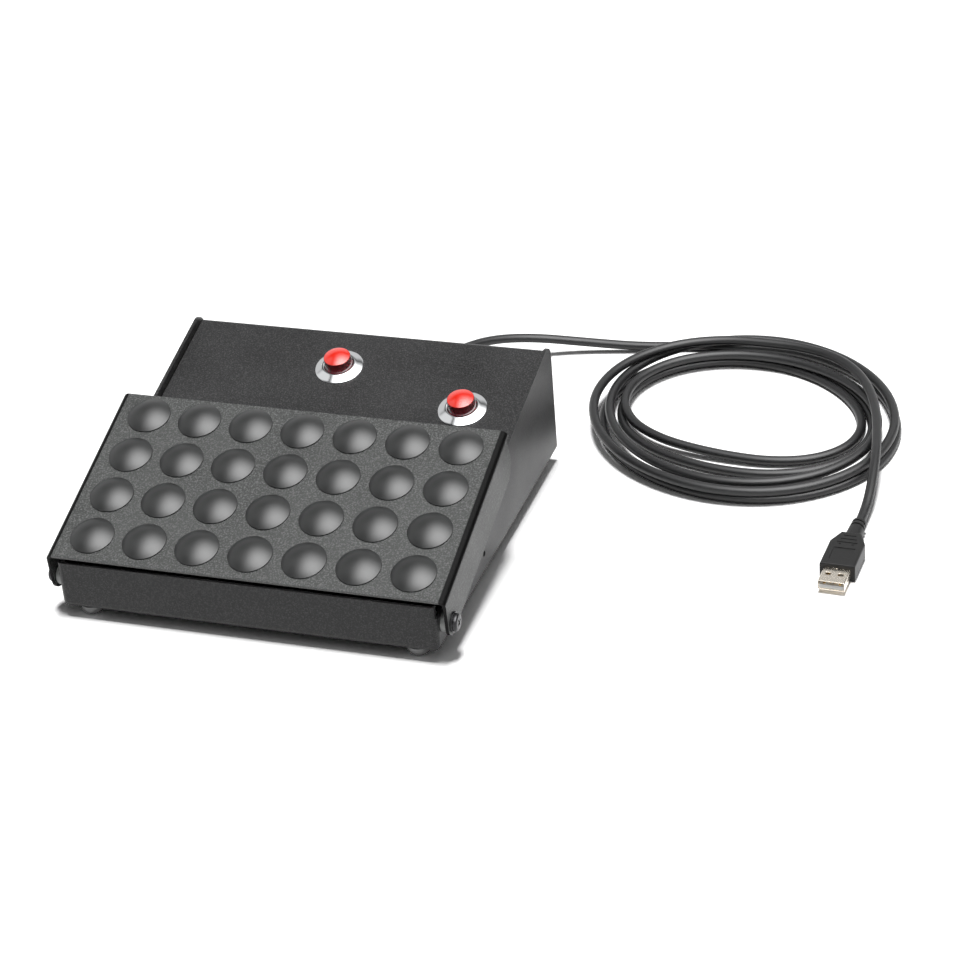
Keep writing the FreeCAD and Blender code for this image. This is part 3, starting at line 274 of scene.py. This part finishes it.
def paint_bend_shade(material):
    """Paint shade into a coat along the two bends but not on the flanges, and make it smoother there, with
    weak reflections.
    """
    tree = material.node_tree
    shader = tree.nodes["Principled BSDF"]
    spot = add(tree, "TexCoord")
    across = add(tree, "SeparateXYZ", {"Vector": spot.outputs["Object"]}).outputs["X"]
    sideways = add(tree, "SeparateXYZ", {"Vector": spot.outputs["Normal"]}).outputs["X"]
    from_middle = add(tree, "Math", {0: across}, operation="ABSOLUTE")
    bend_start = half_pedal - bend_reach
    by_bend = add(tree, "MapRange", {"Value": from_middle.outputs[0], "From Min": bend_start * MM,
                                     "From Max": (bend_start + bend_fade) * MM}, clamp=True)
    # A face that looks almost straight sideways belongs to the flange
    upright = add(tree, "Math", {0: sideways}, operation="ABSOLUTE")
    off_flange = add(tree, "MapRange", {"Value": upright.outputs[0], "From Min": 0.93, "From Max": 0.99,
                                        "To Min": 1.0, "To Max": 0.0}, clamp=True)
    bend_shade_mask = add(tree, "Math", {0: by_bend.outputs["Result"], 1: off_flange.outputs["Result"]},
               operation="MULTIPLY").outputs[0]
    coat_colour = shader.inputs["Base Color"].links[0].from_socket
    # Painted shade: along the bends the coat's colour goes to near black
    dark = add(tree, "MixRGB", {"Fac": bend_shade_mask, "Color1": coat_colour, "Color2": bend_shade_colour})
    tree.links.new(dark.outputs["Color"], shader.inputs["Base Color"])
    coat_gloss = shader.inputs["Roughness"].links[0].from_socket
    smooth = add(tree, "Mix", {0: bend_shade_mask, 2: coat_gloss, 3: bend_roughness}, data_type="FLOAT")
    tree.links.new(smooth.outputs[0], shader.inputs["Roughness"])
    dull = add(tree, "Mix", {0: bend_shade_mask, 2: pedal_specular, 3: bend_specular}, data_type="FLOAT")
    tree.links.new(dull.outputs[0], shader.inputs["Specular IOR Level"])


paint_bend_shade(pedal_coat)
dress("pedal_plate", pedal_coat, edge=0.25)


# Twenty-eight stick-on rubber domes, seven across and four along, give the shoe its grip.
# Each has a thin upright lip and a satin face.

stud_rubber = grained("stud_rubber", (0.008, 0.0084, 0.0084), 0.4, size=1.2, mottle=0.15, depth=0.01,
                      specular=0.6)
stud_radius = 10.05
stud_height = 4.0
stud_lip = 0.5
stud_pitch_across = 25.0
stud_pitch_along = 24.0
# From the pivot: the first row along the pedal, and the plate's upper face square to it
first_row = 10.6
plate_top = 15.95
crown = stud_height - stud_lip
stud_sphere = (stud_radius ** 2 + crown ** 2) / (2 * crown)
stud_edge = math.degrees(math.asin(stud_radius / stud_sphere))
stud_profile = [(0, 0), (stud_radius, 0), (stud_radius, stud_lip - 0.15),
                (stud_radius - 0.06, stud_lip + 0.05)]
stud_profile += arc((0, stud_height - stud_sphere), stud_sphere, 90 - stud_edge + 2, 90, 14)
stud_profile[-1] = (0, stud_height)
pedal_place = place_on(pivot, lean=pedal_tilt)
shape = bmesh.new()
for row in range(4):
    for column in range(7):
        seat = Vector(((column - 3) * stud_pitch_across, first_row + row * stud_pitch_along, plate_top))
        spin(shape, stud_profile, pedal_place @ Matrix.Translation(seat * MM))
piece_from("stud_domes", shape, stud_rubber, "pedal", ["grip_studs"])


# The pedal turns on a pan-head screw in each flange, with a black washer under the head.
# A pale nylon spacer keeps the flange off the side wall, and a nut inside the wall holds the screw.

black_steel = grained("black_steel", (0.03, 0.03, 0.032), 0.25, size=0.8, mottle=0.2, depth=0.006,
                      metallic=0.6)
white_nylon = grained("white_nylon", (0.34, 0.35, 0.34), 0.45, size=1.0, mottle=0.06, depth=0.01)
half_housing = 88.25
washer_gap = 0.15
washer_thickness = 0.8
washer_edge = 0.1
spacer_thickness = 2.85
spacer_edge = 0.2
hole_radius = 2.05
ring_radius = 4.6
head_radius = 4.0
head_round = 1.2
head_out = half_pedal + washer_gap + washer_thickness


def cut(piece, tool):
    """Cut the tool's form out of a piece and throw the tool away."""
    difference = piece.modifiers.new("cut", "BOOLEAN")
    difference.operation = "DIFFERENCE"
    difference.solver = "EXACT"
    difference.use_self = True
    difference.object = tool
    bpy.context.view_layer.update()
    ready = piece.evaluated_get(bpy.context.evaluated_depsgraph_get())
    piece.data = bpy.data.meshes.new_from_object(ready)
    piece.modifiers.clear()
    bpy.data.objects.remove(tool)


head_profile = [(0, -3), (2.0, -3), (2.0, 0), (head_radius - 0.1, 0), (head_radius, 0.1), (head_radius, 0.6)]
head_profile += arc((head_radius - head_round, 0.6), head_round, 10, 90, 8) + [(0, 0.6 + head_round)]
screws = bmesh.new()
slots = bmesh.new()
for side in (-1, 1):
    head = Matrix.Translation(Vector((side * head_out, pivot.y, pivot.z)) * MM)
    head = head @ Matrix.Rotation(side * math.pi / 2, 4, "Y")
    spin(screws, head_profile, head)
    for turn in (20, 110):
        blade = Matrix.Rotation(math.radians(turn), 4, "Z")
        points = []
        for length, width, height in ((2.1, 0.4, 2.0), (0.9, 0.25, 0.5)):
            points += [(-length, -width, height), (length, -width, height), (length, width, height),
                       (-length, width, height)]
        corner = [slots.verts.new(head @ blade @ (Vector(p) * MM)) for p in points]
        for face in ((0, 1, 2, 3), (7, 6, 5, 4), (0, 4, 5, 1), (1, 5, 6, 2), (2, 6, 7, 3), (3, 7, 4, 0)):
            slots.faces.new([corner[k] for k in face])
screw_heads = piece_from("pivot_screw_heads", screws, black_steel, "root", ["pivot_screws"])
bmesh.ops.recalc_face_normals(slots, faces=slots.faces)
slot_mesh = bpy.data.meshes.new("slots")
slots.to_mesh(slot_mesh)
slots.free()
slot_tool = bpy.data.objects.new("slots", slot_mesh)
bpy.context.scene.collection.objects.link(slot_tool)
cut(screw_heads, slot_tool)


def ring_profile(thickness, edge):
    """The profile of a ring round the pivot screw, with a small bevel on its two outer edges."""
    return [(hole_radius, 0), (ring_radius - edge, 0), (ring_radius, edge), (ring_radius, thickness - edge),
            (ring_radius - edge, thickness), (hole_radius, thickness), (hole_radius, 0)]


washers = bmesh.new()
spacers = bmesh.new()
for side in (-1, 1):
    for target, thickness, edge, x in ((washers, washer_thickness, washer_edge, half_pedal + washer_gap),
                                       (spacers, spacer_thickness, spacer_edge, half_housing)):
        place = Matrix.Translation(Vector((side * x, pivot.y, pivot.z)) * MM)
        spin(target, ring_profile(thickness, edge), place @ Matrix.Rotation(side * math.pi / 2, 4, "Y"))
piece_from("black_washers", washers, black_steel, "root", ["pivot_washers"])
piece_from("nylon_spacers", spacers, white_nylon, "root", ["pivot_spacers"])
dress("pivot_nuts", zinc_steel, edge=0.15)


# Under the pedal a nylon rod slides in a bush in the panel. A spring on a bent bracket pushes it back up.
# Two rubber bumps stop the pedal at its lowest.

bush_nylon = grained("bush_nylon", (0.028, 0.028, 0.03), 0.4, size=0.9, mottle=0.1, depth=0.01)
for name in ("push_rod", "rod_collar"):
    dress(name, white_nylon, edge=0.15)
for name in ("rod_guide_bush", "bush_nut"):
    dress(name, bush_nylon, edge=0.15)
dress("bump_stops", stud_rubber, edge=0.3)


def press_spring(name):
    """Dress a spring in zinc steel and give it a mesh of its own."""
    spring = dress(name, zinc_steel)
    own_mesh(spring)


press_spring("return_spring")


# A slide sensor on the bracket's wall reads how far the rod has moved.
# The bracket is zinc-plated sheet, screwed to the tray.

switch_plastic = grained("switch_plastic", (0.05, 0.05, 0.055), 0.5, size=0.5, mottle=0.1, depth=0.01)
dress("slide_pot_body", switch_plastic, edge=0.2)
dress("slide_pot_lever", white_nylon, edge=0.15)
dress("sensor_bracket", zinc_steel, edge=0.15)
dress("bracket_screws", zinc_steel, edge=0.1)


# Two push buttons sit in the panel, each with a chrome bezel on a threaded barrel and a glossy red cap.
# A nut, a spring and a round switch with two blades lie under the panel.

cap_red = bpy.data.materials.new("cap_red")
cap_red.use_nodes = True
tree = cap_red.node_tree
shader = tree.nodes["Principled BSDF"]
shader.inputs["Roughness"].default_value = 0.18
shader.inputs["Coat Weight"].default_value = 0.7
shader.inputs["Coat Roughness"].default_value = 0.15
# Painted light: the cap's one red plastic is painted bright on its top as if lit through, in dark shade on
# its side wall, and a little lighter on the lower wall
facing = add(tree, "TexCoord").outputs["Object"]
height = add(tree, "SeparateXYZ", {"Vector": facing}).outputs["Z"]
top = add(tree, "MapRange", {"Value": height, "From Min": 6.45 * MM, "From Max": 6.9 * MM}, clamp=True)
lit_lower_wall = add(tree, "MapRange", {"Value": height, "From Min": 2.4 * MM, "From Max": 4.4 * MM, "To Min": 1.0,
                              "To Max": 0.0}, clamp=True)
waves = add(tree, "TexNoise", {"Vector": facing, "Scale": 300.0, "Detail": 2.0})
# Painted shade for the side wall, then the painted lit red for the top
shaded_red = add(tree, "MixRGB", {"Fac": waves.outputs["Fac"], "Color1": (0.16, 0.001, 0.006, 1),
                            "Color2": (0.22, 0.002, 0.009, 1)})
lit_red = add(tree, "MixRGB", {"Fac": waves.outputs["Fac"], "Color1": (0.95, 0.02, 0.008, 1),
                              "Color2": (1.0, 0.035, 0.015, 1)})
wall = add(tree, "MixRGB", {"Fac": lit_lower_wall.outputs["Result"], "Color1": shaded_red.outputs["Color"],
                            "Color2": (0.22, 0.008, 0.02, 1)})
face = add(tree, "MixRGB", {"Fac": top.outputs["Result"], "Color1": wall.outputs["Color"],
                            "Color2": lit_red.outputs["Color"]})
tree.links.new(face.outputs["Color"], shader.inputs["Base Color"])
ripple = add(tree, "Bump", {"Height": waves.outputs["Fac"], "Distance": 0.01 * MM, "Strength": 1.0})
tree.links.new(ripple.outputs["Normal"], shader.inputs["Normal"])

bezel_chrome = grained("bezel_chrome", (0.66, 0.67, 0.68), 0.06, size=2.0, mottle=0.03, gloss_spread=0.02,
                       depth=0.0, metallic=1.0)
bezel_profile = [(6.85, -3.0), (6.85, 1.95), (6.95, 2.12), (7.2, 2.2), (7.7, 2.2), (8.0, 2.12),
                 (8.8, 1.76), (9.8, 1.31), (10.8, 0.86), (11.2, 0.66), (11.42, 0.5), (11.5, 0.34),
                 (11.5, 0.08), (11.42, 0), (8.5, 0), (8.5, -9.0), (7.5, -9.0), (7.5, -3.0), (6.85, -3.0)]
cap_top = 8.3
cap_round = 0.5
cap_rim = 6.4
crown_radius = 5.8
crown_rise = 1.4
crown_sphere = (crown_radius ** 2 + crown_rise ** 2) / (2 * crown_rise)
crown_edge = math.degrees(math.asin(crown_radius / crown_sphere))
cap_profile = [(0, -9.6), (2.5, -9.6), (2.5, -4.4), (7.2, -4.4), (7.2, -3.2), (6.7, -3.2), (6.7, 2.2),
               (crown_radius + cap_round, cap_rim)]
cap_profile += arc((crown_radius, cap_rim), cap_round, 0, 64, 8)
cap_profile += arc((0, cap_top - crown_sphere), crown_sphere, 90 - crown_edge + 1.5, 90, 12)
cap_profile[-1] = (0, cap_top)
panel_foot = Vector((0, -79.368, 19.302))
# Each button lies so far right of the middle, and so far up the panel from its foot
for side, x, along in (("left", -7.55, 144.552), ("right", 59.25, 124.852)):
    seat = panel_foot + Vector((x, along * math.cos(panel_slope), along * math.sin(panel_slope)))
    for part, profile, material, slot in (("bezel", bezel_profile, bezel_chrome, "bezel_chrome"),
                                          ("cap", cap_profile, cap_red, "cap_red")):
        shape = bmesh.new()
        spin(shape, profile, Matrix.Identity(4), steps=96)
        body = "root" if part == "bezel" else side + "_cap"
        piece = piece_from(side + "_" + part, shape, material, body, [side + "_button_" + part])
        piece.matrix_world = place_on(seat, lean=panel_slope)
    for part, material in (("button_nut", zinc_steel), ("button_switch", switch_plastic),
                           ("switch_terminals", zinc_steel)):
        dress(side + "_" + part, material, edge=0.1)
    press_spring(side + "_button_spring")


# A green circuit board on four standoffs carries one chip and three white headers.
# Zinc screws hold it to the standoffs.

board_laminate = grained("board_laminate", (0.01, 0.085, 0.035), 0.35, size=1.0, mottle=0.15, depth=0.006)
chip_plastic = grained("chip_plastic", (0.02, 0.02, 0.02), 0.55, size=0.3, mottle=0.1, depth=0.01)
header_plastic = grained("header_plastic", (0.6, 0.58, 0.5), 0.45, size=0.8, mottle=0.06, depth=0.01)
for name, material in (("circuit_board", board_laminate), ("board_chip", chip_plastic),
                       ("board_headers", header_plastic), ("board_standoffs", zinc_steel),
                       ("board_screws", zinc_steel)):
    dress(name, material, edge=0.1)


# The cable leaves the rear wall through a moulded gland, a flange with a tapered boot against kinking.
# A nut clamps the gland from inside, and a short lead runs on to the board.

cable_jacket = grained("cable_jacket", (0.011, 0.011, 0.0115), 0.42, size=0.5, mottle=0.15, depth=0.006,
                       specular=0.45)
gland_place = (13.0, 86.7, 22.0)
flange_top = 2.0
boot_radius = 4.36
boot_taper = 0.0591
first_rib = 4.2
rib_pitch = 3.0
gland_profile = [(0, -7.5), (4.7, -7.5), (4.7, 0), (6.2, 0), (6.3, 0.1), (6.3, 1.5), (6.16, 1.84),
                 (5.8, flange_top), (4.7, flange_top), (4.4, 2.3)]
for k in range(6):
    start = first_rib + rib_pitch * k
    radius = boot_radius - boot_taper * (start - flange_top)
    gland_profile += [(radius, start), (radius - 0.1, start + 0.1), (radius - 0.7, start + 0.15),
                      (radius - 0.74, start + 1.05), (radius - 0.14, start + 1.1),
                      (radius - 0.07, start + 1.2)]
gland_profile += [(3.15, 23.6), (3.0, 24.0), (0, 24.0)]
shape = bmesh.new()
spin(shape, gland_profile, place_on(gland_place, lean=-math.pi / 2), steps=48)
gland = piece_from("cable_gland_boot", shape, cable_jacket, "root", ["cable_gland"])
dress("gland_nut", bush_nylon, edge=0.1)
dress("cable_inner_lead", cable_jacket)


# The cable is round and black, 4.5 mm thick and 2.36 m long. It sinks from the gland to the floor and lies in
# a loose coil of five turns, wound inwards below and outwards on top. Then it passes over them to its plug.

lead_points = [(13.0, 110.7, 22.0), (13.0, 128.7, 22.0), (18.6, 147.5, 19.4), (28.8, 168.5, 15.4),
               (46.0, 183.8, 10.2), (70.5, 192.0, 5.7), (98.5, 197.3, 2.9), (126.5, 204.5, 2.3)]
tail_points = [(183.5, 193.5, 12.6), (198.0, 188.0, 12.8), (209.5, 179.0, 12.9), (218.5, 167.0, 12.9),
               (225.5, 152.5, 12.8), (230.8, 136.0, 12.7), (235.0, 116.0, 12.5), (238.2, 96.0, 12.1),
               (240.2, 74.0, 7.6), (240.0, 61.3, 4.25), (239.68, 51.77, 4.25)]
# How many steps inside the outermost turn the cable lies, and how high, at the back, right, front and left of
# each turn. A step is about two diameters of the cable, longer along the coil's depth than across it.
inward_steps = [0.05, 0.34, 0.58, 0.60, 1.29, 1.60, 2.25, 1.45, 1.67, 2.20, 3.10, 1.60, 1.75, 1.30, 0.99,
                0.90, 0.05, 0.45, 0.45, 0.17, 1.38]
levels = [2.3] * 10 + [3.4, 6.9] + [7.0] * 7 + [10.6, 12.4]


def eased(values, place):
    """A smooth curve through a list of values, read at a place between them."""
    k = min(max(int(place), 0), len(values) - 2)
    part = place - k
    before, start, end, after = (values[min(max(i, 0), len(values) - 1)] for i in (k - 1, k, k + 1, k + 2))
    rise, fall = (end - before) / 2, (after - start) / 2
    return (start * (1 + 2 * part) * (1 - part) ** 2 + rise * part * (1 - part) ** 2
            + end * part ** 2 * (3 - 2 * part) - fall * part ** 2 * (1 - part))


coil_middle = (168.0, 133.2)
coil_half_width = 77.0
coil_half_depth = 76.8
step_across = 9.5
step_along = 12.25
step_back = 1.75
coil_skew = 4.0
coil_turns = 5
points_a_turn = 16


def coil_point(t):
    """A point of the cable after t turns, wound clockwise from the back."""
    inward = eased(inward_steps, 4 * t)
    angle = math.radians(90) - 2 * math.pi * t
    skew = -coil_skew * math.sin(2 * angle)
    half_width = coil_half_width + skew - step_across * inward
    half_depth = coil_half_depth + skew - step_along * inward
    return (coil_middle[0] + half_width * math.cos(angle),
            coil_middle[1] + step_back * inward + half_depth * math.sin(angle), eased(levels, 4 * t))


coil_points = [coil_point(k / points_a_turn) for k in range(coil_turns * points_a_turn + 1)]
route = lead_points + coil_points + tail_points
line = bpy.data.curves.new("cable", "CURVE")
line.dimensions = "3D"
cable_radius = 2.25
spline = line.splines.new("NURBS")
spline.points.add(len(route) - 1)
for point, place in zip(spline.points, route):
    point.co = (*(Vector(place) * MM), 1.0)
spline.order_u = 3
spline.use_endpoint_u = True
spline.resolution_u = 6
line.bevel_depth = cable_radius * MM
line.bevel_resolution = 8
line.use_fill_caps = True
line.materials.append(cable_jacket)
cable = bpy.data.objects.new("cable", line)
bpy.context.scene.collection.objects.link(cable)
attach(cable, "root")
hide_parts("usb_cable_lead", "usb_cable_coil", "usb_cable_tail")


# The plug is a satin black moulding with a ribbed relief behind it and a folded nickel shell in front.
# In the shell lies a tongue with four gilt contact strips.

plug_black = grained("plug_black", (0.016, 0.016, 0.016), 0.42, size=0.5, mottle=0.12, depth=0.008,
                     specular=0.22)
shell_nickel = grained("shell_nickel", (0.78, 0.72, 0.63), 0.24, size=1.5, mottle=0.05, depth=0.002,
                       metallic=1.0)
contact_gold = grained("contact_gold", (0.8, 0.56, 0.25), 0.25, size=1.0, mottle=0.05, depth=0.002,
                       metallic=1.0)
tongue_plastic = grained("tongue_plastic", (0.8, 0.8, 0.79), 0.4, size=0.5, mottle=0.1, depth=0.006)
dress("usb_plug_body", plug_black, edge=0.1)
dress("usb_plug_shell", shell_nickel, edge=0.08)
dress("usb_plug_tongue", tongue_plastic, edge=0.1)
dress("usb_plug_contacts", contact_gold, edge=0.05)


# The studio is a white floor in a white room. A soft sun overhead lights the object, and a broad soft box and
# fainter lights round it show in the glossy surfaces. The camera looks down from the front right, 1.3 m away.

floor_mesh = bpy.data.meshes.new("floor")
shape = bmesh.new()
floor_half = 4.0
corners = [(-floor_half, -floor_half, 0), (floor_half, -floor_half, 0), (floor_half, floor_half, 0),
           (-floor_half, floor_half, 0)]
shape.faces.new([shape.verts.new(corner) for corner in corners])
shape.to_mesh(floor_mesh)
shape.free()
floor = bpy.data.objects.new("floor", floor_mesh)
bpy.context.scene.collection.objects.link(floor)
floor_white = bpy.data.materials.new("floor_white")
floor_white.use_nodes = True
tree = floor_white.node_tree
shader = tree.nodes["Principled BSDF"]
# The floor looks white and is mirrored white, and throws back on the object only what a real white floor does
rays = add(tree, "LightPath")
paint = add(tree, "MixRGB", {"Fac": rays.outputs["Is Diffuse Ray"], "Color1": (1.45, 1.45, 1.45, 1),
                             "Color2": (0.85, 0.85, 0.85, 1)})
tree.links.new(paint.outputs["Color"], shader.inputs["Base Color"])
shader.inputs["Roughness"].default_value = 0.9
shader.inputs["Specular IOR Level"].default_value = 0.0
floor_mesh.materials.append(floor_white)

world = bpy.data.worlds.new("studio")
bpy.context.scene.world = world
world.use_nodes = True
world.cycles.sampling_method = "NONE"
tree = world.node_tree
background = tree.nodes["Background"]
direction = add(tree, "TexCoord").outputs["Generated"]
place = add(tree, "SeparateXYZ", {"Vector": direction})


def band(axis, dark, lit, strength=1.0):
    """How bright the room is along one axis, from nothing at dark to the full strength at lit."""
    ramp = add(tree, "MapRange", {"Value": place.outputs[axis], "From Min": dark, "From Max": lit,
                                  "To Min": 0.0, "To Max": strength}, interpolation_type="SMOOTHSTEP")
    return ramp.outputs["Result"]


def both(first, second):
    """Where two bands of light overlap."""
    return add(tree, "Math", {0: first, 1: second}, operation="MULTIPLY").outputs[0]


def either(first, second):
    """The brighter of two lights."""
    return add(tree, "Math", {0: first, 1: second}, operation="MAXIMUM").outputs[0]


soft_box = both(band("X", -0.5, 0.15, 10.5), band("X", 1.05, 0.6))
soft_box = both(both(soft_box, band("Z", 0.35, 0.7)), both(band("Y", 0.8, -0.2), band("Y", -0.9, -0.45)))
left_light = both(both(band("X", -0.4, -0.52), band("Y", 0.4, 0.1)), band("Y", -0.5, -0.2))
sweep = both(both(band("Z", 0.74, 0.5, 0.8), band("Y", -0.2, 0.1)), band("X", 0.45, 0.15))
front = both(band("Z", 0.5, 0.3), band("Y", 0.1, -0.2))
room = either(either(soft_box, left_light), either(sweep, front))
darkest = 0.05
room = either(room, darkest)
# The room is there to be reflected: of its light, matt surfaces get only this share
diffuse_share = 0.04
rays = add(tree, "LightPath")
dim = add(tree, "Math", {0: rays.outputs["Is Diffuse Ray"], 1: diffuse_share - 1, 2: 1.0},
          operation="MULTIPLY_ADD")
seen = either(rays.outputs["Is Camera Ray"], rays.outputs["Is Transmission Ray"])
strength = add(tree, "Mix", {0: seen, 2: both(room, dim.outputs[0]), 3: 1.0}, data_type="FLOAT")
background.inputs["Color"].default_value = (1, 1, 1, 1)
tree.links.new(strength.outputs[0], background.inputs["Strength"])

key = bpy.data.lights.new("key", "SUN")
key.energy = 2.95
key.angle = math.radians(16)
key_light = bpy.data.objects.new("key", key)
key_light.rotation_euler = Vector((-0.02, 0.04, 0.99)).to_track_quat("Z", "Y").to_euler()
key_light.visible_glossy = False
bpy.context.scene.collection.objects.link(key_light)

lens = bpy.data.cameras.new("camera")
lens.sensor_width = 36.0
lens.lens = 104.198
lens.clip_end = 20.0
camera = bpy.data.objects.new("camera", lens)
right = Vector((0.94771928, 0.31086466, -0.07205094))
up = Vector((-0.10105776, 0.50655223, 0.85626641))
back = Vector((0.30268053, -0.80421888, 0.5114846))
stand = Matrix.Translation((0.452757, -0.988932, 0.667864))
camera.matrix_world = stand @ Matrix((right, up, back)).transposed().to_4x4()
bpy.context.scene.collection.objects.link(camera)
bpy.context.scene.camera = camera
bpy.context.scene.view_settings.view_transform = "Standard"
